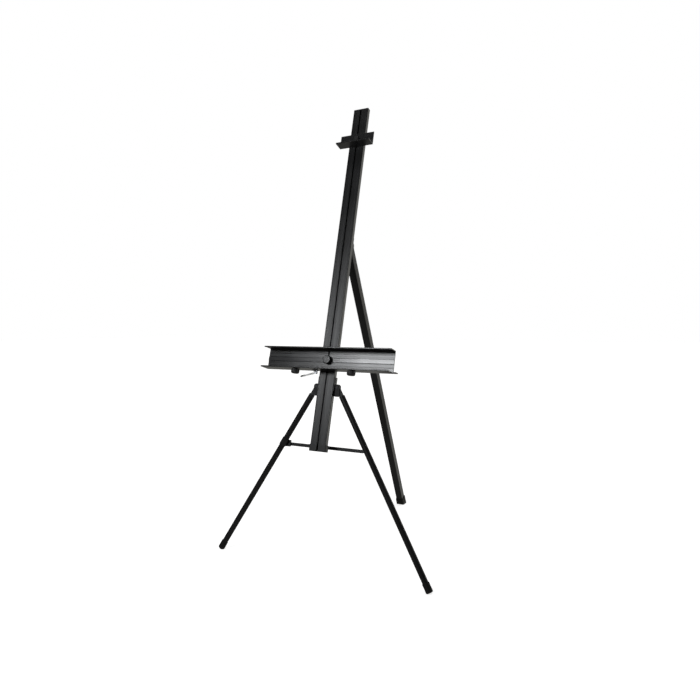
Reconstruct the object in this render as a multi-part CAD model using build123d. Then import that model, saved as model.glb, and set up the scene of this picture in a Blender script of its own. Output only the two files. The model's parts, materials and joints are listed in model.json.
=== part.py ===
"""Tripod field easel: black aluminium mast on two front legs and one rear leg.

Millimetres, +Z up, the painter stands on the -Y side. The origin is on the floor, under the
middle of the whole easel, so the three soles lie in z = 0.

Three tilted frames are used, each with x = row X, y = up along the piece, z = its front normal:
the mast frame (mast, tray, holder, brackets), the front leg frame, and the rear leg frame.
"""
from build123d import *
import math
import os

os.makedirs("parts", exist_ok=True)

# ---- driving dimensions -------------------------------------------------------------------
MAST_LEAN = 15.5          # mast leans back, degrees from vertical
MAST_FOOT_Y = -520.36     # row Y where the mast's front face would meet the floor
MAST_BOTTOM = 430.0       # distance up the mast's face from that line
MAST_TOP = 1764.0
MAST_WIDTH = 62.0
MAST_DEPTH = 18.0
WALL = 2.0

SLOT_HALF = 3.6           # T-slot in the mast's front face
SLOT_LIP = 2.0
CAVITY_HALF = 10.5
CAVITY_FLOOR = 6.0        # depth of the slot's floor behind the front face

CAP_WALL = 2.0            # plastic cap on the mast's lower end
CAP_HEIGHT = 24.0
TOP_CAP = 4.0             # flush plastic cap that closes the upper end

LEG_PIVOT = 657.0         # distance up the mast of the front legs' pivots
LEG_PIVOT_X = 42.0
LEG_PIVOT_BACK = 15.0     # and how far behind the mast's front face
LEG_LEAN = 7.8            # the front legs' plane leans back less than the mast
LEG_SPLAY = 30.5          # each front leg from straight down, in that plane
LEG_RADIUS = 10.5
LEG_BORE = 9.2
TONGUE_HALF = 3.0
TONGUE_REACH = 36.0       # from the pivot down to the tube's end
CHEEK = 2.5
CHEEK_RADIUS = 10.0
PIN_RADIUS = 3.0
FOOT_RADIUS = 12.3
FOOT_ROUND = 4.5          # rounding of the boot's end
FOOT_RISE = 4.1           # from the floor up the leg's centre line to the boot's end

REAR_PIVOT = 1204.0       # distance up the mast of the rear leg's pivot
REAR_PIVOT_BACK = 36.5    # and how far behind the mast's front face
REAR_LEAN = 26.4          # rear leg from vertical
REAR_TUBE = 30.0
REAR_WALL = 1.6
REAR_BOOT = 36.0
REAR_PIN_RADIUS = 4.0

BAR_HALF = 6.0            # flat spreader bar between the front legs, half its height
BAR_THICK = 3.0
BAR_BEHIND = 14.0         # bar's middle behind the front legs' centre plane
LUG_DOWN = 242.0          # distance of the spreader's lug down the left leg
LUG_INWARD = 15.0         # spreader pivot, inward of the left leg's centre line
STUD_RADIUS = 3.0
STUD_INWARD = 5.0         # stud on the right leg's back, inward of its centre line
STUD_BELOW = 1.0          # stud's centre below the bar's middle line
HOOK_GAP = 0.4            # between the bar's hook and the stud

TRAY_CENTRE = 750.0       # distance up the mast of the tray's clamp bolt
TRAY_HALF_LENGTH = 254.0
TRAY_HALF_HEIGHT = 40.0
TRAY_SKIN = 3.0
FACE_GAP = 0.1            # running gap between the mast's face and the tray and holder
TOP_LEDGE = 44.0
BOTTOM_LEDGE = 50.0
BOTTOM_LEDGE_TAB = 16.0   # the lower ledge runs on past the web at the right end
RIB_HALF = 7.0
RIB_HEIGHT = 1.5

KNOB_RADIUS = 15.5
LEDGE_KNOB_X = 112.0
LEDGE_KNOB_OUT = 34.0
LEVER_X = -41.0
LEVER_LENGTH = 62.0
LEVER_HANG = 7.0          # lever's pivot below the ledge's underside
LEVER_DROP = 15.0         # lever points this many degrees below the ledge

HOLDER_BOTTOM = 1598.0
HOLDER_HEIGHT = 53.0
HOLDER_HALF = 70.0
HOLDER_LIP = 39.0
HOLDER_BOLT = 1630.0


# ---- frames -------------------------------------------------------------------------------
def sin(degrees):
    return math.sin(math.radians(degrees))


def cos(degrees):
    return math.cos(math.radians(degrees))


def on_mast(x, up, out):
    """Row point at x, a distance up the mast's face and a distance out of it."""
    y = MAST_FOOT_Y + up * sin(MAST_LEAN) - out * cos(MAST_LEAN)
    return (x, y, up * cos(MAST_LEAN) + out * sin(MAST_LEAN))


MAST = Plane(
    origin=(0, MAST_FOOT_Y, 0), x_dir=(1, 0, 0), z_dir=(0, -cos(MAST_LEAN), sin(MAST_LEAN))
).location

leg_origin = on_mast(0, LEG_PIVOT, -LEG_PIVOT_BACK)
LEGS = Plane(
    origin=leg_origin, x_dir=(1, 0, 0), z_dir=(0, -cos(LEG_LEAN), sin(LEG_LEAN))
).location
LEG_LENGTH = leg_origin[2] / cos(LEG_LEAN) / cos(LEG_SPLAY)

rear_origin = on_mast(0, REAR_PIVOT, -REAR_PIVOT_BACK)
REAR = Plane(
    origin=rear_origin, x_dir=(1, 0, 0), z_dir=(0, -cos(REAR_LEAN), -sin(REAR_LEAN))
).location
REAR_LENGTH = rear_origin[2] / cos(REAR_LEAN)


def leg_place(side):
    """Frame of one front leg: its pivot at the origin, the leg running down -y."""
    return LEGS * Pos(side * LEG_PIVOT_X, 0, 0) * Rot(0, 0, side * LEG_SPLAY)


# ---- small helpers ------------------------------------------------------------------------
def block(x0, x1, y0, y1, z0, z1):
    middle = Pos((x0 + x1) / 2, (y0 + y1) / 2, (z0 + z1) / 2)
    return middle * Box(x1 - x0, y1 - y0, z1 - z0)


def rod_z(radius, z0, z1):
    """Round bar along z."""
    return Pos(0, 0, (z0 + z1) / 2) * Cylinder(radius, z1 - z0)


def rod_y(radius, y0, y1):
    """Round bar along y."""
    return Pos(0, (y0 + y1) / 2, 0) * Rot(90, 0, 0) * Cylinder(radius, y1 - y0)


def rod_x(radius, x0, x1):
    """Round bar along x."""
    return Pos((x0 + x1) / 2, 0, 0) * Rot(0, 90, 0) * Cylinder(radius, x1 - x0)


def above_floor(shape):
    """The part of a placed shape that is above the floor, which cuts a level sole."""
    return shape & Pos(0, 0, 1000) * Box(2000, 2400, 2000)


def save(name, *shapes):
    """Write one node, one solid or several alike."""
    solids = [solid for shape in shapes for solid in shape.solids()]
    export_step(solids[0] if len(solids) == 1 else Compound(children=solids), f"parts/{name}.step")
    print(f"{name:22s} solids {len(solids)} volume {sum(s.volume for s in solids):10.1f}")


# ---- mast ---------------------------------------------------------------------------------
def rear_rivet_spots():
    return [(x, REAR_PIVOT + y) for x in (-24, 24) for y in (-15, 15)]


def side_rivet_spots():
    """Up the mast, level with the middle of its depth."""
    return [LEG_PIVOT + 17, LEG_PIVOT + 28]


def mast_section():
    """Closed box each side of a T-slot, with a third box behind the slot."""
    half = MAST_WIDTH / 2
    section = Pos(0, -MAST_DEPTH / 2) * RectangleRounded(MAST_WIDTH, MAST_DEPTH, 1.8)
    section -= Pos(0, -SLOT_LIP / 2) * Rectangle(2 * SLOT_HALF, SLOT_LIP + 1)
    cavity_height = CAVITY_FLOOR - SLOT_LIP
    section -= Pos(0, -(CAVITY_FLOOR + SLOT_LIP) / 2) * Rectangle(2 * CAVITY_HALF, cavity_height)
    back_height = MAST_DEPTH - CAVITY_FLOOR - 2 * WALL
    back_centre = -(MAST_DEPTH - WALL - back_height / 2)
    section -= Pos(0, back_centre) * Rectangle(2 * CAVITY_HALF, back_height)
    box_width = half - WALL - CAVITY_HALF - WALL
    for side in (-1, 1):
        box_centre = side * (CAVITY_HALF + WALL + box_width / 2)
        section -= Pos(box_centre, -MAST_DEPTH / 2) * Rectangle(box_width, MAST_DEPTH - 2 * WALL)
        section -= Pos(side * (half - 5), 0) * Rectangle(1.4, 1.2)
        section -= Pos(side * (SLOT_HALF + 3), 0) * Rectangle(1.0, 0.8)
    return section


def mast():
    length = MAST_TOP - TOP_CAP - MAST_BOTTOM
    bar = extrude(Plane.XZ * mast_section(), amount=length, dir=(0, 1, 0))
    bar = Pos(0, MAST_BOTTOM, 0) * bar
    for x, up in rear_rivet_spots():
        bar -= Pos(x, up, 0) * rod_z(2.05, -MAST_DEPTH - 1, -MAST_DEPTH + WALL + 1)
    for up in side_rivet_spots():
        for side in (-1, 1):
            outer = side * (MAST_WIDTH / 2 + 1)
            inner = side * (MAST_WIDTH / 2 - WALL - 1)
            bar -= Pos(0, up, -MAST_DEPTH / 2) * rod_x(2.05, min(outer, inner), max(outer, inner))
    return MAST * bar


def mast_end_cap():
    half = MAST_WIDTH / 2 + CAP_WALL
    outer = block(-half, half, MAST_BOTTOM - 3, MAST_BOTTOM - 3 + CAP_HEIGHT,
                  -MAST_DEPTH - CAP_WALL, CAP_WALL)
    outer = fillet(outer.edges().filter_by(Axis.Y), 3.0)
    outer = fillet(outer.faces().sort_by(Axis.Y)[0].edges(), 1.2)
    fit = 0.1
    outer -= block(-half + CAP_WALL - fit, half - CAP_WALL + fit, MAST_BOTTOM, MAST_BOTTOM + 60,
                   -MAST_DEPTH - fit, fit)
    outer -= block(-SLOT_HALF, SLOT_HALF, MAST_BOTTOM - 5, MAST_BOTTOM + 60, -1, 5)
    return MAST * outer


def mast_top_cap():
    """Plate flush with the mast's sides, with a plug in each side box."""
    half = MAST_WIDTH / 2
    low = MAST_TOP - TOP_CAP
    cap = block(-half, half, low, MAST_TOP, -MAST_DEPTH, 0)
    cap = fillet(cap.edges().filter_by(Axis.Y), 1.8)
    cap = fillet(cap.faces().sort_by(Axis.Y)[-1].edges(), 1.0)
    fit = 0.1
    for side in (-1, 1):
        inner, outer = sorted((side * (CAVITY_HALF + WALL + fit), side * (half - WALL - fit)))
        cap += block(inner, outer, low - 14, low, -MAST_DEPTH + WALL + fit, -WALL - fit)
    return MAST * cap


# ---- front leg brackets and pins ----------------------------------------------------------
def cheek(side):
    """Round over the pivot, running down beside the mast as far as the leg's tube allows."""
    half = CHEEK / 2
    inner = side * (MAST_WIDTH / 2 + 0.5 - LEG_PIVOT_X)
    low, high = sorted((inner, side * CHEEK_RADIUS))
    lower = block(low, high, -TONGUE_REACH, 0, -half, half)
    lower &= rod_z(TONGUE_REACH - 2, -half, half)
    low, high = sorted((inner, 0))
    upper = block(low, high, 0, CHEEK_RADIUS, -half, half)
    upper += rod_z(CHEEK_RADIUS, -half, half)
    return lower + upper - rod_z(PIN_RADIUS + 0.05, -half - 1, half + 1)


def leg_bracket(side):
    """U bracket: its web is riveted to the mast's side, its two cheeks hold the leg's tongue."""
    face = MAST_WIDTH / 2
    low, high = sorted((side * face, side * (face + CHEEK)))
    web = block(low, high, LEG_PIVOT - 13, LEG_PIVOT + 34, -MAST_DEPTH - 3, -3)
    for up in side_rivet_spots():
        web -= Pos(0, up, -MAST_DEPTH / 2) * rod_x(2.05, low - 1, high + 1)
    bracket = MAST * web
    for facing in (-1, 1):
        middle = facing * (TONGUE_HALF + 0.3 + CHEEK / 2)
        bracket += LEGS * Pos(side * LEG_PIVOT_X, 0, middle) * cheek(side)
    return bracket


def side_rivets(side):
    """Blind rivets with domed heads on the bracket's web."""
    rivets = []
    for up in side_rivet_spots():
        face = MAST_WIDTH / 2 + CHEEK
        low, high = sorted((side * (MAST_WIDTH / 2 - WALL - 3), side * face))
        shank = rod_x(2.0, low, high)
        low, high = sorted((side * face, side * (face + 1.6)))
        head = rod_x(3.6, low, high)
        head = fillet(head.edges().sort_by(Axis.X)[-1 if side > 0 else 0], 1.2)
        rivets.append(MAST * Pos(0, up, -MAST_DEPTH / 2) * (shank + head))
    return rivets


def leg_pin(side):
    reach = TONGUE_HALF + 0.3 + CHEEK
    pin = rod_z(PIN_RADIUS, -reach, reach)
    for z0 in (reach, -reach - 2):
        head = rod_z(6, z0, z0 + 2)
        outer_edge = head.edges().sort_by(Axis.Z)[-1 if z0 > 0 else 0]
        pin += fillet(outer_edge, 1.4)
    return LEGS * Pos(side * LEG_PIVOT_X, 0, 0) * pin


# ---- front legs ---------------------------------------------------------------------------
def leg_tongue(side):
    """Flat tongue on the pivot, with a round plug that fills the tube's top."""
    tongue = rod_z(7, -TONGUE_HALF, TONGUE_HALF)
    tongue += block(-7, 7, -TONGUE_REACH - 1, 0, -TONGUE_HALF, TONGUE_HALF)
    tongue += rod_y(LEG_BORE - 0.1, -TONGUE_REACH - 40, -TONGUE_REACH - 1)
    tongue += rod_y(LEG_RADIUS, -TONGUE_REACH - 3, -TONGUE_REACH)
    tongue -= rod_z(PIN_RADIUS + 0.05, -9, 9)
    return leg_place(side) * tongue


def leg_tube(side):
    end = -LEG_LENGTH + 14
    start = -TONGUE_REACH - 3.1
    tube = rod_y(LEG_RADIUS, end, start) - rod_y(LEG_BORE, end - 1, start + 1)
    if side > 0:
        tube -= Pos(-STUD_INWARD, -stud_down(), 0) * rod_z(STUD_RADIUS + 0.05, -20, 0)
    return leg_place(side) * tube


def leg_foot(side):
    """Rubber ferrule with a rounded end square to the leg, worn flat where it meets the floor."""
    end = -LEG_LENGTH + FOOT_RISE
    foot = rod_y(FOOT_RADIUS, end, end + 32)
    foot = fillet(foot.edges().sort_by(Axis.Y)[-1], 1.5)
    foot = fillet(foot.edges().sort_by(Axis.Y)[0], FOOT_ROUND)
    for up in (14, 19, 24):
        foot -= Pos(0, end + up, 0) * Rot(90, 0, 0) * Torus(FOOT_RADIUS + 0.3, 0.9)
    foot -= rod_y(LEG_RADIUS + 0.05, -LEG_LENGTH + 14, -LEG_LENGTH + 60)
    return above_floor(leg_place(side) * foot)


# ---- spreader -----------------------------------------------------------------------------
def mast_turn():
    """Turn from the row's axes to the mast's, with no move."""
    return Plane(origin=(0, 0, 0), x_dir=(1, 0, 0),
                 z_dir=(0, -cos(MAST_LEAN), sin(MAST_LEAN))).location


def spreader_place():
    """The bar's own frame: its pivot at the origin, the level bar running along +x."""
    pivot = leg_place(-1) * Pos(LUG_INWARD, -LUG_DOWN, -BAR_BEHIND)
    return Pos(pivot.position) * mast_turn()


def stud_down():
    """Distance of the stud down the right leg, so that the level bar hooks over it."""
    level = -(LUG_DOWN * cos(LEG_SPLAY) + LUG_INWARD * sin(LEG_SPLAY)) - STUD_BELOW
    return (-level - STUD_INWARD * sin(LEG_SPLAY)) / cos(LEG_SPLAY)


def stud_along_bar():
    stud = leg_place(1) * Pos(-STUD_INWARD, -stud_down(), 0)
    return stud.position.X - spreader_place().position.X


def spreader_lug():
    """Band clamped round the left leg, with a flat plate that carries the bar's pivot."""
    band = leg_place(-1) * Pos(0, -LUG_DOWN, 0) * rod_y(LEG_RADIUS + 2, -14, 14)
    plate = block(-19, 10, -10, 14, 2.2, 7.5)
    plate = fillet(plate.edges().filter_by(Axis.Z).group_by(Axis.X)[-1], 3)
    lug = band + spreader_place() * plate
    lug -= leg_place(-1) * rod_y(LEG_RADIUS + 0.05, -LUG_DOWN - 60, -LUG_DOWN + 60)
    lug -= spreader_place() * rod_z(2.55, 0, 10)
    return lug


def spreader_pin():
    """Headed pin through the lug and the bar's eye."""
    pin = rod_z(2.5, -2.0, 7.6)
    back_head = rod_z(4.5, -3.8, -1.9)
    pin += fillet(back_head.edges().sort_by(Axis.Z)[0], 1.2)
    front_head = rod_z(3.2, 7.5, 8.4)
    pin += fillet(front_head.edges().sort_by(Axis.Z)[-1], 0.5)
    return spreader_place() * pin


def spreader_bar():
    """Flat bar with an eye at the left leg and a hook over the right leg's stud."""
    stud = stud_along_bar()
    roof = STUD_RADIUS + HOOK_GAP - STUD_BELOW
    outer = stud + STUD_RADIUS + HOOK_GAP
    outline = [
        (0, -BAR_HALF), (stud - 16, -BAR_HALF), (stud - 1.5, roof), (outer, roof),
        (outer, -4.5), (outer + 3.6, -4.5), (outer + 3.6, 2.5), (outer, BAR_HALF), (0, BAR_HALF),
    ]
    flat = Polygon(*outline, align=None) + Circle(8)
    bar = extrude(flat, amount=BAR_THICK / 2, both=True)
    return spreader_place() * (bar - rod_z(2.55, -10, 10))


def spreader_stud():
    """Headed stud on the back of the right leg."""
    neck = -BAR_BEHIND - BAR_THICK / 2 - 1.6
    head = rod_z(5, neck - 2, neck)
    head = fillet(head.edges().sort_by(Axis.Z)[0], 1.0)
    stud = rod_z(STUD_RADIUS, neck, -5.5) + head
    return leg_place(1) * Pos(-STUD_INWARD, -stud_down(), 0) * stud


# ---- rear leg -----------------------------------------------------------------------------
def rear_bracket():
    """Base plate riveted to the mast's back, with two ears for the rear leg's pin."""
    back = -MAST_DEPTH
    ear_inner = REAR_TUBE / 2 + 0.4
    ear_outer = ear_inner + 3
    base = block(-30, 30, REAR_PIVOT - 23, REAR_PIVOT + 23, back - CHEEK, back)
    base = fillet(base.edges().filter_by(Axis.Z), 4)
    for x, up in rear_rivet_spots():
        base -= Pos(x, up, 0) * rod_z(2.05, back - 4, back + 1)
    for side in (-1, 1):
        low, high = sorted((side * ear_inner, side * ear_outer))
        ear = block(low, high, REAR_PIVOT - 13, REAR_PIVOT + 13, -REAR_PIVOT_BACK, back - 1)
        ear += Pos(0, REAR_PIVOT, -REAR_PIVOT_BACK) * rod_x(13, low, high)
        base += ear
    base -= Pos(0, REAR_PIVOT, -REAR_PIVOT_BACK) * rod_x(REAR_PIN_RADIUS + 0.05, -40, 40)
    return MAST * base


def rear_rivets():
    back = -MAST_DEPTH
    rivets = []
    for x, up in rear_rivet_spots():
        head = rod_z(3.6, back - CHEEK - 1.6, back - CHEEK)
        head = fillet(head.edges().sort_by(Axis.Z)[0], 1.2)
        rivet = rod_z(2.0, back - CHEEK, back + WALL + 2.5) + head
        rivets.append(MAST * Pos(x, up, 0) * rivet)
    return rivets


def rear_pin():
    reach = REAR_TUBE / 2 + 3.4
    pin = rod_x(REAR_PIN_RADIUS, -reach, reach)
    for x0 in (reach, -reach - 3):
        head = rod_x(7.5, x0, x0 + 3)
        pin += fillet(head.edges().sort_by(Axis.X)[-1 if x0 > 0 else 0], 1.6)
    return MAST * Pos(0, REAR_PIVOT, -REAR_PIVOT_BACK) * pin


def rear_tube():
    """Square tube with a rounded, solid upper end on the pin."""
    half = REAR_TUBE / 2
    end = -REAR_LENGTH + 14
    tube = block(-half, half, end, 0, -half, half)
    tube = fillet(tube.edges().filter_by(Axis.Y), 2.5)
    head = rod_x(half, -half, half) + block(-half, half, -14, 0, -half, half)
    tube += head
    inside = half - REAR_WALL
    tube -= block(-inside, inside, end - 1, -18, -inside, inside)
    tube -= rod_x(REAR_PIN_RADIUS + 0.05, -half - 1, half + 1)
    return REAR * tube


def rear_foot():
    half = REAR_BOOT / 2
    boot = block(-half, half, -REAR_LENGTH - 30, -REAR_LENGTH + 38, -half, half)
    boot = fillet(boot.edges().filter_by(Axis.Y), 4)
    boot = fillet(boot.faces().sort_by(Axis.Y)[-1].edges(), 1.5)
    tube_half = REAR_TUBE / 2 + 0.05
    hole = block(-tube_half, tube_half, -REAR_LENGTH + 14, -REAR_LENGTH + 60,
                 -tube_half, tube_half)
    boot -= fillet(hole.edges().filter_by(Axis.Y), 2.45)
    for up in (20, 26, 32):
        ring = block(-20, 20, -REAR_LENGTH + up, -REAR_LENGTH + up + 1.6, -20, 20)
        ring -= block(-half + 0.8, half - 0.8, -REAR_LENGTH + up - 1, -REAR_LENGTH + up + 3,
                      -half + 0.8, half - 0.8)
        boot -= ring
    return above_floor(REAR * boot)


# ---- tray ---------------------------------------------------------------------------------
def tray_section():
    """Web against the mast, a ledge forward from each edge, and a raised rib along the middle."""
    low = TRAY_CENTRE - TRAY_HALF_HEIGHT
    high = TRAY_CENTRE + TRAY_HALF_HEIGHT
    skin = TRAY_SKIN
    tip = 5.0
    outline = [
        (low, FACE_GAP), (high, FACE_GAP), (high, TOP_LEDGE), (high - tip, TOP_LEDGE),
        (high - tip, TOP_LEDGE - 2), (high - skin, TOP_LEDGE - 4), (high - skin, skin),
        (TRAY_CENTRE + RIB_HALF + 1.5, skin), (TRAY_CENTRE + RIB_HALF, skin + RIB_HEIGHT),
        (TRAY_CENTRE - RIB_HALF, skin + RIB_HEIGHT), (TRAY_CENTRE - RIB_HALF - 1.5, skin),
        (low + skin, skin), (low + skin, BOTTOM_LEDGE - 4), (low + tip, BOTTOM_LEDGE - 2),
        (low + tip, BOTTOM_LEDGE), (low, BOTTOM_LEDGE),
    ]
    section = Polygon(*outline, align=None)
    noses = [v for v in section.vertices() if round(v.Y, 3) in (TOP_LEDGE, BOTTOM_LEDGE)]
    section = fillet(noses, 1.9)
    for centre in (-22, 22):
        section -= Pos(TRAY_CENTRE + centre, skin) * Rectangle(1.2, 1.2)
    return section


def tray():
    length = 2 * TRAY_HALF_LENGTH + BOTTOM_LEDGE_TAB
    bar = extrude(Plane.YZ * tray_section(), amount=length, dir=(1, 0, 0))
    bar = Pos(-TRAY_HALF_LENGTH, 0, 0) * bar
    low = TRAY_CENTRE - TRAY_HALF_HEIGHT
    bar -= block(TRAY_HALF_LENGTH, TRAY_HALF_LENGTH + 60, low + TRAY_SKIN, low + 200, -10, 80)
    bar -= block(TRAY_HALF_LENGTH, TRAY_HALF_LENGTH + 60, low - 10, low + 20, 24, 80)
    slot = rod_z(3.3, -5, 20) + Pos(0, 30, 0) * rod_z(3.3, -5, 20)
    slot += block(-3.3, 3.3, 0, 30, -5, 20)
    bar -= Pos(0, TRAY_CENTRE, 0) * slot
    for side in (-1, 1):
        bar -= Pos(side * LEDGE_KNOB_X, low, LEDGE_KNOB_OUT) * rod_y(3.2, -2, 6)
    for x in lever_screw_spots():
        bar -= Pos(x, low, 16) * rod_y(2.1, -2, 6)
    return MAST * bar


def shoe(up, half_length):
    """Flat steel bar that slides inside the mast's T-slot, tapped for a clamp bolt."""
    bar = block(-CAVITY_HALF + 0.5, CAVITY_HALF - 0.5, up - half_length, up + half_length,
                -CAVITY_FLOOR + 0.4, -SLOT_LIP - 0.4)
    bar = chamfer(bar.edges().filter_by(Axis.Z), 1.5)
    bar -= Pos(0, up, 0) * rod_z(3.05, -20, 5)
    return MAST * bar


def tray_washer():
    top = TRAY_SKIN + RIB_HEIGHT
    washer = rod_z(7, top, top + 1.4) - rod_z(3.2, top - 1, top + 3)
    return MAST * Pos(0, TRAY_CENTRE, 0) * washer


def fluted_knob(radius, height, crown, flutes):
    """Round grip along z from 0, with scallops round its edge and a crowned front."""
    knob = rod_z(radius, 0, height)
    knob = fillet(knob.edges().sort_by(Axis.Z)[-1], crown)
    knob = fillet(knob.edges().sort_by(Axis.Z)[0], 1.0)
    for step in range(flutes):
        scallop = Pos(radius + 1.2, 0, 0) * rod_z(2.6, -1, height + 1)
        knob -= Rot(0, 0, step * 360 / flutes) * scallop
    return knob


def tray_knob():
    start = TRAY_SKIN + RIB_HEIGHT + 1.5
    knob = Pos(0, 0, start + 2) * fluted_knob(KNOB_RADIUS, 11, 3.5, 12)
    knob += rod_z(8, start, start + 3)
    knob -= rod_z(3.05, start - 1, start + 9)
    return MAST * Pos(0, TRAY_CENTRE, 0) * knob


def tray_bolt():
    start = TRAY_SKIN + RIB_HEIGHT + 1.5
    return MAST * Pos(0, TRAY_CENTRE, 0) * rod_z(3.0, -CAVITY_FLOOR + 0.8, start + 8.5)


def ledge_knob(side):
    low = TRAY_CENTRE - TRAY_HALF_HEIGHT
    knob = Rot(90, 0, 0) * Pos(0, 0, 2) * fluted_knob(15, 16, 5.5, 10)
    knob += rod_y(8, -3, -0.3)
    knob -= rod_y(3.05, -12, 5)
    return MAST * Pos(side * LEDGE_KNOB_X, low, LEDGE_KNOB_OUT) * knob


def ledge_screw(side):
    low = TRAY_CENTRE - TRAY_HALF_HEIGHT
    return MAST * Pos(side * LEDGE_KNOB_X, low, LEDGE_KNOB_OUT) * rod_y(3.0, -11.5, 7.4)


def ledge_nut(side):
    """Plain hexagon nut on the ledge's upper face."""
    base = TRAY_CENTRE - TRAY_HALF_HEIGHT + TRAY_SKIN
    nut = extrude(Plane.XZ * RegularPolygon(5.8, 6), amount=4, dir=(0, 1, 0))
    nut -= rod_y(3.05, -2, 8)
    return MAST * Pos(side * LEDGE_KNOB_X, base, LEDGE_KNOB_OUT) * nut


# ---- steel lever under the tray -----------------------------------------------------------
def lever_screw_spots():
    return (LEVER_X - 5, LEVER_X + 5)


def lever_bracket():
    """Small angle screwed under the lower ledge, its tab hanging in front of the lever."""
    low = TRAY_CENTRE - TRAY_HALF_HEIGHT
    angle = block(LEVER_X - 10, LEVER_X + 10, low - 2, low, 8, 21)
    angle += block(LEVER_X - 5.5, LEVER_X + 5.5, low - LEVER_HANG, low - 1, 8, 10)
    angle += Pos(LEVER_X, low - LEVER_HANG, 0) * rod_z(5.5, 8, 10)
    for x in lever_screw_spots():
        angle -= Pos(x, low, 16) * rod_y(2.1, -4, 2)
    angle -= Pos(LEVER_X, low - LEVER_HANG, 0) * rod_z(2.05, 5, 12)
    return MAST * angle


def lever_screws():
    low = TRAY_CENTRE - TRAY_HALF_HEIGHT
    screws = []
    for x in lever_screw_spots():
        screw = rod_y(2.0, -2, 5.5) + rod_y(3.8, -4.2, -2)
        screws.append(MAST * Pos(x, low, 16) * screw)
    return screws


def lever_pin():
    low = TRAY_CENTRE - TRAY_HALF_HEIGHT
    pin = rod_z(2.0, 4.2, 10) + rod_z(3.5, 10, 11.2) + rod_z(3.5, 3.0, 4.4)
    return MAST * Pos(LEVER_X, low - LEVER_HANG, 0) * pin


def tray_lever():
    """Bright flat blade with a round eye, pointing left and slightly down."""
    low = TRAY_CENTRE - TRAY_HALF_HEIGHT
    blade = block(-LEVER_LENGTH, 0, -3, 3, 4.8, 7.4) + rod_z(5.5, 4.8, 7.4)
    blade += Pos(-LEVER_LENGTH, 0, 0) * rod_z(3, 4.8, 7.4)
    blade -= rod_z(2.05, 0, 12)
    return MAST * Pos(LEVER_X, low - LEVER_HANG, 0) * Rot(0, 0, LEVER_DROP) * blade


# ---- top holder ---------------------------------------------------------------------------
def holder():
    """Short angle: plate on the mast's face, lip forward over the canvas."""
    low = HOLDER_BOTTOM
    high = low + HOLDER_HEIGHT
    skin = TRAY_SKIN
    outline = [
        (low, FACE_GAP), (high, FACE_GAP), (high, skin),
        (low + skin + 16, skin), (low + skin + 14, skin + 1), (low + skin + 6, skin + 1),
        (low + skin + 4, skin), (low + skin, skin),
        (low + skin, HOLDER_LIP - 4), (low + 5, HOLDER_LIP - 2), (low + 5, HOLDER_LIP),
        (low, HOLDER_LIP),
    ]
    bar = extrude(Plane.YZ * Polygon(*outline, align=None), amount=2 * HOLDER_HALF, dir=(1, 0, 0))
    bar = Pos(-HOLDER_HALF, 0, 0) * bar
    bar -= Pos(0, HOLDER_BOLT, 0) * rod_z(3.3, -5, 20)
    return MAST * bar


def holder_knob():
    """Low thumb screw: fluted head and bolt in one piece."""
    start = TRAY_SKIN + 0.3
    knob = Pos(0, 0, start) * fluted_knob(10, 8, 2.4, 10)
    knob += rod_z(3.0, -CAVITY_FLOOR + 0.8, start + 2)
    return MAST * Pos(0, HOLDER_BOLT, 0) * knob


# ---- write every node ---------------------------------------------------------------------
save("mast", mast())
save("mast_end_cap", mast_end_cap())
save("mast_top_cap", mast_top_cap())
save("leg_bracket_left", leg_bracket(-1))
save("leg_bracket_right", leg_bracket(1))
save("leg_bracket_rivets", *side_rivets(-1), *side_rivets(1))
save("leg_pivot_pins", leg_pin(-1), leg_pin(1))
save("rear_bracket", rear_bracket())
save("rear_bracket_rivets", *rear_rivets())
save("rear_pivot_pin", rear_pin())

for name, side in (("left", -1), ("right", 1)):
    save(f"{name}_leg_tongue", leg_tongue(side))
    save(f"{name}_leg_tube", leg_tube(side))
    save(f"{name}_leg_foot", leg_foot(side))
    save(f"ledge_knob_{name}", ledge_knob(side))
    save(f"ledge_screw_{name}", ledge_screw(side))

save("spreader_lug", spreader_lug())
save("spreader_pin", spreader_pin())
save("spreader_bar", spreader_bar())
save("spreader_stud", spreader_stud())

save("rear_leg_tube", rear_tube())
save("rear_leg_foot", rear_foot())

save("tray", tray())
save("tray_shoe", shoe(TRAY_CENTRE, 32))
save("tray_washer", tray_washer())
save("tray_knob", tray_knob())
save("tray_bolt", tray_bolt())
save("ledge_nuts", ledge_nut(-1), ledge_nut(1))
save("lever_bracket", lever_bracket())
save("lever_screws", *lever_screws())
save("lever_pin", lever_pin())
save("tray_lever", tray_lever())

save("holder", holder())
save("holder_shoe", shoe(HOLDER_BOLT, 20))
save("holder_knob", holder_knob())
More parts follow.
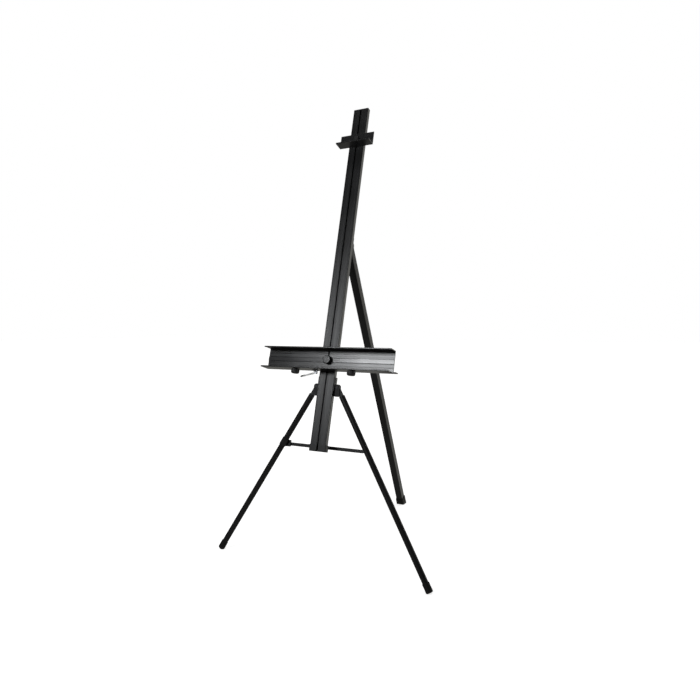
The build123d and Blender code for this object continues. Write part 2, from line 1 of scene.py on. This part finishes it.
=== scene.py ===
"""Looks of the tripod field easel: black anodised aluminium, black plastic, rubber and steel.

Every object is in metres, in the row frame: +Z up, the painter stands on the -Y side.
"""
import bpy
import bmesh
import json
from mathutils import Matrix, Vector


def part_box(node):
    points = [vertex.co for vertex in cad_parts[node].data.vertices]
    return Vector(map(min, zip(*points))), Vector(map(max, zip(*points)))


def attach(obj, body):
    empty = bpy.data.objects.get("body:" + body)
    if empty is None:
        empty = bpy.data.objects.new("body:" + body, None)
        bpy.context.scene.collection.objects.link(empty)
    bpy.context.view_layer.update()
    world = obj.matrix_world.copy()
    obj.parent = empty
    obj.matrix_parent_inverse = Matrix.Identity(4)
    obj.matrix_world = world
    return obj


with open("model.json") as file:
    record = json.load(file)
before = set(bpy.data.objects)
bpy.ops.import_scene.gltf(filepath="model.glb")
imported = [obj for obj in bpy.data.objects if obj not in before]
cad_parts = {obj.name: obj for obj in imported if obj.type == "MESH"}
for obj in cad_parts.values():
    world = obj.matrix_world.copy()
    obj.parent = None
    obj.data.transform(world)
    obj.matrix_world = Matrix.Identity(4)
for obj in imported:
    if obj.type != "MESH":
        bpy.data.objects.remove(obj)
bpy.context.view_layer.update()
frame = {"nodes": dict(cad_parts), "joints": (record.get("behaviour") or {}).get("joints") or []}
nodes = frame["nodes"]
joints = {joint["name"]: joint for joint in frame["joints"]}

# ---- colours, linear ---------------------------------------------------------------------------
MAST_BLACK = (0.007, 0.007, 0.0075)
MAST_GREY = (0.014, 0.014, 0.015)
TRAY_BLACK = (0.012, 0.012, 0.013)
TRAY_GREY = (0.022, 0.022, 0.023)
# painted highlight on the edges of the anodised parts
EDGE_HIGHLIGHT_GREY = (0.10, 0.10, 0.105)
# painted highlight along the tray's rib
RIB_HIGHLIGHT_GREY = (0.045, 0.045, 0.047)
PAINT_BASE = (0.010, 0.010, 0.011)
PAINT_BLACK = (0.008, 0.008, 0.0085)
PAINT_GREY = (0.014, 0.014, 0.0145)
# paler grey put on the edges of the powder-coated steel
PALE_EDGE_PAINT = (0.12, 0.12, 0.125)
BLACKENED = (0.06, 0.06, 0.063)
ZINC = (0.56, 0.57, 0.60)
BRIGHT = (0.66, 0.66, 0.65)
PLASTIC_BLACK = (0.009, 0.009, 0.0095)
GRIP_BLACK = (0.011, 0.011, 0.0115)
RUBBER_BASE = (0.009, 0.009, 0.009)
RUBBER_BLACK = (0.007, 0.007, 0.007)
RUBBER_GREY = (0.013, 0.013, 0.0125)
DUST = (0.07, 0.068, 0.064)
PAPER = (0.90, 0.90, 0.90)
PAPER_PALE = (0.93, 0.93, 0.93)
WHITE = (1, 1, 1)

# ---- sizes in metres ---------------------------------------------------------------------------
EDGE_ROUND = 0.0006             # rounding of an extrusion's or a moulding's edges
SHEET_ROUND = 0.0005            # of a pressed sheet's
STEEL_ROUND = 0.0004
RIB_HALF = 0.0070               # half the width of the tray's rib
RIB_HIGHLIGHT_FADE = 0.0003               # over which the rib's painted highlight fades
DUST_TOP = 0.012                # height at which dust on the feet starts
TRAY_DISC = 0.0085              # radius of the disc on the tray's knob
HOLDER_DISC = 0.0052            # and on the holder's
DISC_LIFT = 0.0005              # height of a disc above its knob's face
DRAWN = 260.0                   # how many times longer than wide the die lines are
BRUSHED = 30.0                  # and the brush marks

# ---- light and camera --------------------------------------------------------------------------
FLOOR_SIZE = 60
FLOOR_NEAR, FLOOR_FAR = (0.5, 0.76), (2.6, 1.0)    # distance from the easel, light given off
ROOM_TINT = (1.0, 0.985, 0.92)
BACK_RIGHT = Vector((0.6, 0.8, 0.0))
STRAIGHT_UP = Vector((0, 0, 1))
BACK_GLOW = (0.70, 0.97, 0.02, 1.20)     # towards the back right: from, to, and the strengths there
FLOOR_GLOW = (0.05, -0.4, 0.02, 0.30)    # down to the floor, the same way
KEY_PLACE, KEY_AIM = (-0.74, -2.48, 1.82), (0.0, -0.33, 0.75)
KEY_SIZE, KEY_POWER, KEY_TINT = (0.7, 0.7), 27.5, (0.96, 0.98, 1.0)
TOP_PLACE, TOP_AIM = (0.2, 0.8, 3.4), (0.0, 0.8, 0.0)
TOP_SIZE, TOP_POWER = (3.0, 3.0), 30.0
EYE = (0.96605, -2.10064, 0.84386)
LOOK_AT = (0.124757, -0.400357, 0.765324)
SENSOR, LENS = 36.0, 29.135              # millimetres

# ---- directions and places read from the joints ---------------------------------------------
ACROSS = Vector((1, 0, 0))
UP = Vector(joints["tray_slide"]["axis"])                # up the mast
OUT = Vector(joints["tray_knob_turn"]["axis"])           # out of the mast's face
KNOB_PLACE = Vector(joints["tray_knob_turn"]["pos_m"])
HOLDER_PLACE = Vector(joints["holder_knob_turn"]["pos_m"])


def middle(node):
    """Middle of a CAD node's box."""
    low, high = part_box(node)
    return (low + high) / 2


def direction_of_leg(side):
    """Along a front leg, from its tongue's pin to its foot."""
    pin = Vector(joints[f"{side}_leg_fold"]["pos_m"])
    low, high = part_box(f"{side}_leg_foot")
    foot = Vector(((low.x + high.x) / 2, (low.y + high.y) / 2, 0))
    return (foot - pin).normalized()


REAR = (middle("rear_leg_foot") - Vector(joints["rear_leg_fold"]["pos_m"])).normalized()


# ---- node helpers -----------------------------------------------------------------------------
class Tree:
    """A material's node tree with short calls for the nodes used here."""

    def __init__(self, name, color, roughness, metallic=0.0):
        self.material = bpy.data.materials.new(name)
        self.material.use_nodes = True
        self.nodes = self.material.node_tree.nodes
        self.links = self.material.node_tree.links
        self.shader = self.nodes["Principled BSDF"]
        self.shader.inputs["Base Color"].default_value = (*color, 1)
        self.shader.inputs["Roughness"].default_value = roughness
        self.shader.inputs["Metallic"].default_value = metallic
        self.place = self.nodes.new("ShaderNodeTexCoord").outputs["Object"]

    def join(self, output, node, key):
        self.links.new(output, node.inputs[key])

    def along(self, direction, stretch):
        """Object coordinates turned to the direction, along which a pattern is stretched so many times."""
        turn = direction.to_track_quat("Z", "Y").to_euler()
        node = self.nodes.new("ShaderNodeMapping")
        node.vector_type = "TEXTURE"
        node.inputs["Rotation"].default_value = turn
        node.inputs["Scale"].default_value = (1, 1, stretch)
        self.join(self.place, node, "Vector")
        return node.outputs["Vector"]

    def noise(self, vector, scale, detail=2.0, roughness=0.5):
        node = self.nodes.new("ShaderNodeTexNoise")
        node.inputs["Scale"].default_value = scale
        node.inputs["Detail"].default_value = detail
        node.inputs["Roughness"].default_value = roughness
        self.join(vector, node, "Vector")
        return node.outputs["Fac"]

    def remap(self, value, low, high, to_low=0.0, to_high=1.0):
        node = self.nodes.new("ShaderNodeMapRange")
        node.inputs["From Min"].default_value = low
        node.inputs["From Max"].default_value = high
        node.inputs["To Min"].default_value = to_low
        node.inputs["To Max"].default_value = to_high
        self.join(value, node, "Value")
        return node.outputs["Result"]

    def math(self, kind, a, b):
        node = self.nodes.new("ShaderNodeMath")
        node.operation = kind
        for index, value in enumerate((a, b)):
            if isinstance(value, (int, float)):
                node.inputs[index].default_value = value
            else:
                self.links.new(value, node.inputs[index])
        return node.outputs["Value"]

    def blend(self, factor, a, b):
        """Mix of two colours; each is a tuple or another node's output."""
        node = self.nodes.new("ShaderNodeMix")
        node.data_type = "RGBA"
        sockets = [s for s in node.inputs if s.type == "RGBA"]
        for socket, value in zip(sockets, (a, b)):
            if isinstance(value, tuple):
                socket.default_value = (*value, 1)
            else:
                self.links.new(value, socket)
        self.links.new(factor, node.inputs[0])
        return next(s for s in node.outputs if s.type == "RGBA")

    def rounded(self, radius):
        """Normals as if every edge were rounded over by the radius."""
        bevel = self.nodes.new("ShaderNodeBevel")
        bevel.samples = 4
        bevel.inputs["Radius"].default_value = radius
        return bevel.outputs["Normal"]

    def edges(self, rounded):
        """1 on rounded-over edges, 0 on open faces."""
        normal = self.nodes.new("ShaderNodeNewGeometry").outputs["Normal"]
        dot = self.nodes.new("ShaderNodeVectorMath")
        dot.operation = "DOT_PRODUCT"
        self.links.new(rounded, dot.inputs[0])
        self.links.new(normal, dot.inputs[1])
        return self.remap(dot.outputs["Value"], 0.98, 0.80)

    def band(self, point, normal, half):
        """1 within a band through the point, 0 beyond it, measured along the band's normal."""
        dot = self.nodes.new("ShaderNodeVectorMath")
        dot.operation = "DOT_PRODUCT"
        self.links.new(self.place, dot.inputs[0])
        dot.inputs[1].default_value = normal
        away = self.math("ABSOLUTE", self.math("SUBTRACT", dot.outputs["Value"], point.dot(normal)), 0)
        return self.remap(away, half + RIB_HIGHLIGHT_FADE, half)

    def height(self):
        """Height above the floor at rest, for dust on the feet."""
        node = self.nodes.new("ShaderNodeSeparateXYZ")
        self.join(self.place, node, "Vector")
        return node.outputs["Z"]

    def bump(self, height, strength, distance, below=None):
        node = self.nodes.new("ShaderNodeBump")
        node.inputs["Strength"].default_value = strength
        node.inputs["Distance"].default_value = distance
        self.join(height, node, "Height")
        if below is not None:
            self.join(below, node, "Normal")
        return node.outputs["Normal"]

    def finish(self, color=None, roughness=None, normal=None):
        for key, output in (("Base Color", color), ("Roughness", roughness), ("Normal", normal)):
            if output is not None:
                self.join(output, self.shader, key)
        return self.material


# ---- materials --------------------------------------------------------------------------------
def anodised(name, direction, dark=MAST_BLACK, light=MAST_GREY, roughness=0.36, specular=0.5, rib=None):
    """Black anodised extrusion: die lines along its length, a fine etched grain, edges painted pale as a
    highlight.

    A rib is a band along the extrusion painted lighter as a highlight and made glossier: a point on it,
    its normal across the band and half its width.
    """
    tree = Tree(name, dark, roughness)
    tree.shader.inputs["Specular IOR Level"].default_value = specular
    drawn = tree.along(direction, DRAWN)
    lines = tree.noise(drawn, 700.0, 3.0, 0.62)
    bands = tree.noise(drawn, 130.0, 2.0)
    cloud = tree.noise(tree.place, 9.0, 3.0)
    grain = tree.noise(tree.place, 3800.0, 1.0)
    tone = tree.math("ADD", tree.remap(lines, 0.3, 0.7, 0.0, 0.55),
                     tree.remap(cloud, 0.35, 0.65, 0.0, 0.45))
    color = tree.blend(tone, dark, light)
    rounded = tree.rounded(EDGE_ROUND)
    # edges painted paler as a highlight standing in for their rounding
    color = tree.blend(tree.math("MULTIPLY", tree.edges(rounded), 0.3), color, EDGE_HIGHLIGHT_GREY)
    gloss = tree.math("ADD", tree.remap(bands, 0.3, 0.7, roughness - 0.04, roughness + 0.05),
                      tree.remap(cloud, 0.3, 0.7, -0.03, 0.03))
    if rib is not None:
        # the rib painted lighter as a highlight, and made glossier
        rib_highlight = tree.band(*rib)
        color = tree.blend(rib_highlight, color, RIB_HIGHLIGHT_GREY)
        gloss = tree.math("SUBTRACT", gloss, tree.math("MULTIPLY", rib_highlight, 0.08))
    normal = tree.bump(lines, 0.10, 0.0002, rounded)
    normal = tree.bump(grain, 0.10, 0.0001, normal)
    return tree.finish(color, gloss, normal)


def painted_steel(name):
    """Black powder coat on pressed steel: an orange-peel skin, paler grey in patches along its edges."""
    tree = Tree(name, PAINT_BASE, 0.45)
    tree.shader.inputs["Specular IOR Level"].default_value = 0.35
    peel = tree.noise(tree.place, 900.0, 2.0)
    cloud = tree.noise(tree.place, 40.0, 3.0)
    color = tree.blend(tree.remap(cloud, 0.35, 0.65), PAINT_BLACK, PAINT_GREY)
    rounded = tree.rounded(SHEET_ROUND)
    # edges made paler grey in patches
    pale_edges = tree.math("MULTIPLY", tree.edges(rounded), tree.remap(cloud, 0.45, 0.60, 0.0, 0.7))
    color = tree.blend(pale_edges, color, PALE_EDGE_PAINT)
    gloss = tree.remap(cloud, 0.3, 0.7, 0.36, 0.48)
    return tree.finish(color, gloss, tree.bump(peel, 0.25, 0.0003, rounded))


def steel(name, color, roughness, metallic=1.0):
    """Bright or zinc-plated steel with fine brushing and a few dull patches."""
    tree = Tree(name, color, roughness, metallic)
    brushed = tree.along(ACROSS, BRUSHED)
    lines = tree.noise(brushed, 1600.0, 2.0)
    cloud = tree.noise(tree.place, 120.0, 3.0)
    dull = tuple(0.72 * c for c in color)
    tone = tree.blend(tree.remap(cloud, 0.35, 0.65, 0.0, 1.0), color, dull)
    gloss = tree.math("ADD", tree.remap(lines, 0.3, 0.7, roughness - 0.06, roughness + 0.06),
                      tree.remap(cloud, 0.3, 0.7, -0.04, 0.06))
    return tree.finish(tone, gloss, tree.bump(lines, 0.12, 0.0001, tree.rounded(STEEL_ROUND)))


def plastic(name, roughness, color=PLASTIC_BLACK, grain_depth=0.0003):
    """Moulded black plastic: a spark-eroded grain and slight unevenness in its gloss."""
    tree = Tree(name, color, roughness)
    grain = tree.noise(tree.place, 2200.0, 2.0, 0.6)
    cloud = tree.noise(tree.place, 60.0, 2.0)
    pale = tuple(1.7 * c for c in color)
    tone = tree.blend(tree.remap(cloud, 0.3, 0.7), color, pale)
    gloss = tree.math("ADD", tree.remap(cloud, 0.3, 0.7, roughness - 0.05, roughness + 0.05),
                      tree.remap(grain, 0.3, 0.7, -0.03, 0.05))
    return tree.finish(tone, gloss, tree.bump(grain, 0.18, grain_depth, tree.rounded(EDGE_ROUND)))


def rubber(name):
    """Moulded rubber with a dusty bloom that grows towards the floor."""
    tree = Tree(name, RUBBER_BASE, 0.68)
    tree.shader.inputs["Specular IOR Level"].default_value = 0.25
    grain = tree.noise(tree.place, 1300.0, 3.0, 0.6)
    cloud = tree.noise(tree.place, 160.0, 4.0, 0.6)
    color = tree.blend(tree.remap(cloud, 0.3, 0.7), RUBBER_BLACK, RUBBER_GREY)
    low = tree.remap(tree.height(), DUST_TOP, 0.0, 0.0, 0.55)
    dusty = tree.math("MULTIPLY", low, tree.remap(cloud, 0.38, 0.62, 0.25, 1.0))
    color = tree.blend(dusty, color, DUST)
    gloss = tree.remap(cloud, 0.3, 0.7, 0.60, 0.78)
    return tree.finish(color, gloss, tree.bump(grain, 0.35, 0.0004))


def give(material, *names):
    """Each named CAD node gets the material alone."""
    for name in names:
        mesh = nodes[name].data
        mesh.materials.clear()
        mesh.materials.append(material)


mast_metal = anodised("mast_anodised", UP)
tray_metal = anodised("tray_anodised", ACROSS, TRAY_BLACK, TRAY_GREY, 0.28, specular=0.6,
                      rib=(KNOB_PLACE, UP, RIB_HALF))
holder_metal = anodised("holder_anodised", ACROSS)
black_steel = painted_steel("powder_coated_steel")
dark_pins = steel("blackened_pins", BLACKENED, 0.42)
zinc = steel("zinc_plated_steel", ZINC, 0.34)
bright = steel("bright_steel", BRIGHT, 0.5, metallic=0.35)
matte_plastic = plastic("black_moulding", 0.55)
gloss_plastic = plastic("glossy_grip", 0.26, GRIP_BLACK, 0.0001)
foot_rubber = rubber("foot_rubber")

give(mast_metal, "mast")
give(tray_metal, "tray")
give(holder_metal, "holder")
for side in ("left", "right"):
    tube_metal = anodised(f"{side}_leg_anodised", direction_of_leg(side),
                          roughness=0.46, specular=0.25)
    give(tube_metal, f"{side}_leg_tube")
    give(matte_plastic, f"{side}_leg_tongue", f"ledge_knob_{side}")
    give(foot_rubber, f"{side}_leg_foot")
    give(zinc, f"ledge_screw_{side}")
    give(black_steel, f"leg_bracket_{side}")
give(anodised("rear_leg_anodised", REAR, roughness=0.46, specular=0.25), "rear_leg_tube")
give(foot_rubber, "rear_leg_foot")
give(anodised("bar_anodised", ACROSS, roughness=0.46, specular=0.25), "spreader_bar")
give(black_steel, "rear_bracket", "spreader_lug")
give(dark_pins, "leg_bracket_rivets", "leg_pivot_pins", "rear_bracket_rivets", "rear_pivot_pin",
     "spreader_pin", "spreader_stud", "tray_shoe", "tray_bolt", "holder_shoe")
give(zinc, "lever_bracket", "lever_screws", "lever_pin", "tray_washer", "ledge_nuts")
give(bright, "tray_lever")
give(matte_plastic, "mast_end_cap", "mast_top_cap", "holder_knob")
give(gloss_plastic, "tray_knob")


# ---- moulded detail ---------------------------------------------------------------------------
def reach(node, direction):
    """How far a CAD node goes along a direction."""
    turn = nodes[node].matrix_world
    return max((turn @ vertex.co).dot(direction) for vertex in nodes[node].data.vertices)


def face_disc(node, centre, radius):
    """A shallow disc moulded on a knob's face, with a rounded rim."""
    shape = bmesh.new()
    bmesh.ops.create_cone(shape, cap_ends=True, segments=96, radius1=radius, radius2=radius,
                          depth=2 * DISC_LIFT)
    rim = [edge for edge in shape.edges if all(vertex.co.z > 0 for vertex in edge.verts)]
    bmesh.ops.bevel(shape, geom=rim, offset=0.6 * DISC_LIFT, segments=3, profile=0.5, affect="EDGES")
    mesh = bpy.data.meshes.new(f"{node}_disc")
    shape.to_mesh(mesh)
    shape.free()
    mesh.materials.append(nodes[node].data.materials[0])
    disc = bpy.data.objects.new(f"{node}_disc", mesh)
    disc.location = centre + OUT * (reach(node, OUT) - centre.dot(OUT))
    disc.rotation_euler = OUT.to_track_quat("Z", "Y").to_euler()
    bpy.context.scene.collection.objects.link(disc)
    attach(disc, node)


face_disc("tray_knob", KNOB_PLACE, TRAY_DISC)
face_disc("holder_knob", HOLDER_PLACE, HOLDER_DISC)


# ---- floor, light and camera -----------------------------------------------------------------
def floor():
    """White paper that gives off a little less light near the easel, so that its feet shade it."""
    bpy.ops.mesh.primitive_plane_add(size=FLOOR_SIZE, location=(0, 0, 0))
    plane = bpy.context.object
    plane.name = "floor"
    tree = Tree("floor_paper", PAPER, 0.9)
    fibres = tree.noise(tree.place, 350.0, 3.0)
    cloud = tree.noise(tree.place, 1.5, 2.0)
    color = tree.blend(tree.remap(cloud, 0.3, 0.7), PAPER, PAPER_PALE)
    tree.shader.inputs["Emission Color"].default_value = (*WHITE, 1)
    length = tree.nodes.new("ShaderNodeVectorMath")
    length.operation = "LENGTH"
    tree.join(tree.place, length, "Vector")
    (near, near_glow), (far, far_glow) = FLOOR_NEAR, FLOOR_FAR
    glow = tree.remap(length.outputs["Value"], near, far, near_glow, far_glow)
    tree.join(glow, tree.shader, "Emission Strength")
    plane.data.materials.append(tree.finish(color, None, tree.bump(fibres, 0.05, 0.0003)))
    plane.visible_diffuse = False
    plane.visible_glossy = False


def soft_box(name, place, aim, size, power, tint=WHITE):
    """A rectangular area light at a place, turned to its aim."""
    light = bpy.data.lights.new(name, "AREA")
    light.shape = "RECTANGLE"
    light.size, light.size_y = size
    light.energy = power
    light.color = tint
    lamp = bpy.data.objects.new(name, light)
    lamp.location = place
    lamp.rotation_euler = (Vector(aim) - Vector(place)).to_track_quat("-Z", "Y").to_euler()
    bpy.context.scene.collection.objects.link(lamp)


def studio():
    """White backdrop; the room is brighter behind the easel on its right, and below it."""
    world = bpy.data.worlds.new("studio")
    world.use_nodes = True
    tree = world.node_tree
    room = tree.nodes["Background"]
    room.inputs["Color"].default_value = (*ROOM_TINT, 1)
    backdrop = tree.nodes.new("ShaderNodeBackground")
    backdrop.inputs["Color"].default_value = (*WHITE, 1)
    toward = tree.nodes.new("ShaderNodeTexCoord").outputs["Generated"]

    def glow(direction, low, high, to_low, to_high):
        """Strength that grows as the ray turns to the direction."""
        dot = tree.nodes.new("ShaderNodeVectorMath")
        dot.operation = "DOT_PRODUCT"
        tree.links.new(toward, dot.inputs[0])
        dot.inputs[1].default_value = direction
        node = tree.nodes.new("ShaderNodeMapRange")
        node.inputs["From Min"].default_value = low
        node.inputs["From Max"].default_value = high
        node.inputs["To Min"].default_value = to_low
        node.inputs["To Max"].default_value = to_high
        tree.links.new(dot.outputs["Value"], node.inputs["Value"])
        return node.outputs["Result"]

    total = tree.nodes.new("ShaderNodeMath")
    total.operation = "ADD"
    tree.links.new(glow(BACK_RIGHT, *BACK_GLOW), total.inputs[0])
    tree.links.new(glow(STRAIGHT_UP, *FLOOR_GLOW), total.inputs[1])
    tree.links.new(total.outputs["Value"], room.inputs["Strength"])
    mix = tree.nodes.new("ShaderNodeMixShader")
    seen = tree.nodes.new("ShaderNodeLightPath").outputs["Is Camera Ray"]
    tree.links.new(seen, mix.inputs["Fac"])
    tree.links.new(room.outputs["Background"], mix.inputs[1])
    tree.links.new(backdrop.outputs["Background"], mix.inputs[2])
    tree.links.new(mix.outputs["Shader"], tree.nodes["World Output"].inputs["Surface"])
    bpy.context.scene.world = world


def camera():
    """At the photo's viewing angle: to the painter's right, a little above the tray."""
    data = bpy.data.cameras.new("camera")
    data.sensor_width = SENSOR
    data.lens = LENS
    eye = bpy.data.objects.new("camera", data)
    eye.location = EYE
    eye.rotation_euler = (Vector(LOOK_AT) - eye.location).to_track_quat("-Z", "Y").to_euler()
    bpy.context.scene.collection.objects.link(eye)
    bpy.context.scene.camera = eye


floor()
studio()
soft_box("key", KEY_PLACE, KEY_AIM, KEY_SIZE, KEY_POWER, KEY_TINT)
soft_box("overhead", TOP_PLACE, TOP_AIM, TOP_SIZE, TOP_POWER)
camera()
bpy.context.scene.view_settings.view_transform = "Standard"
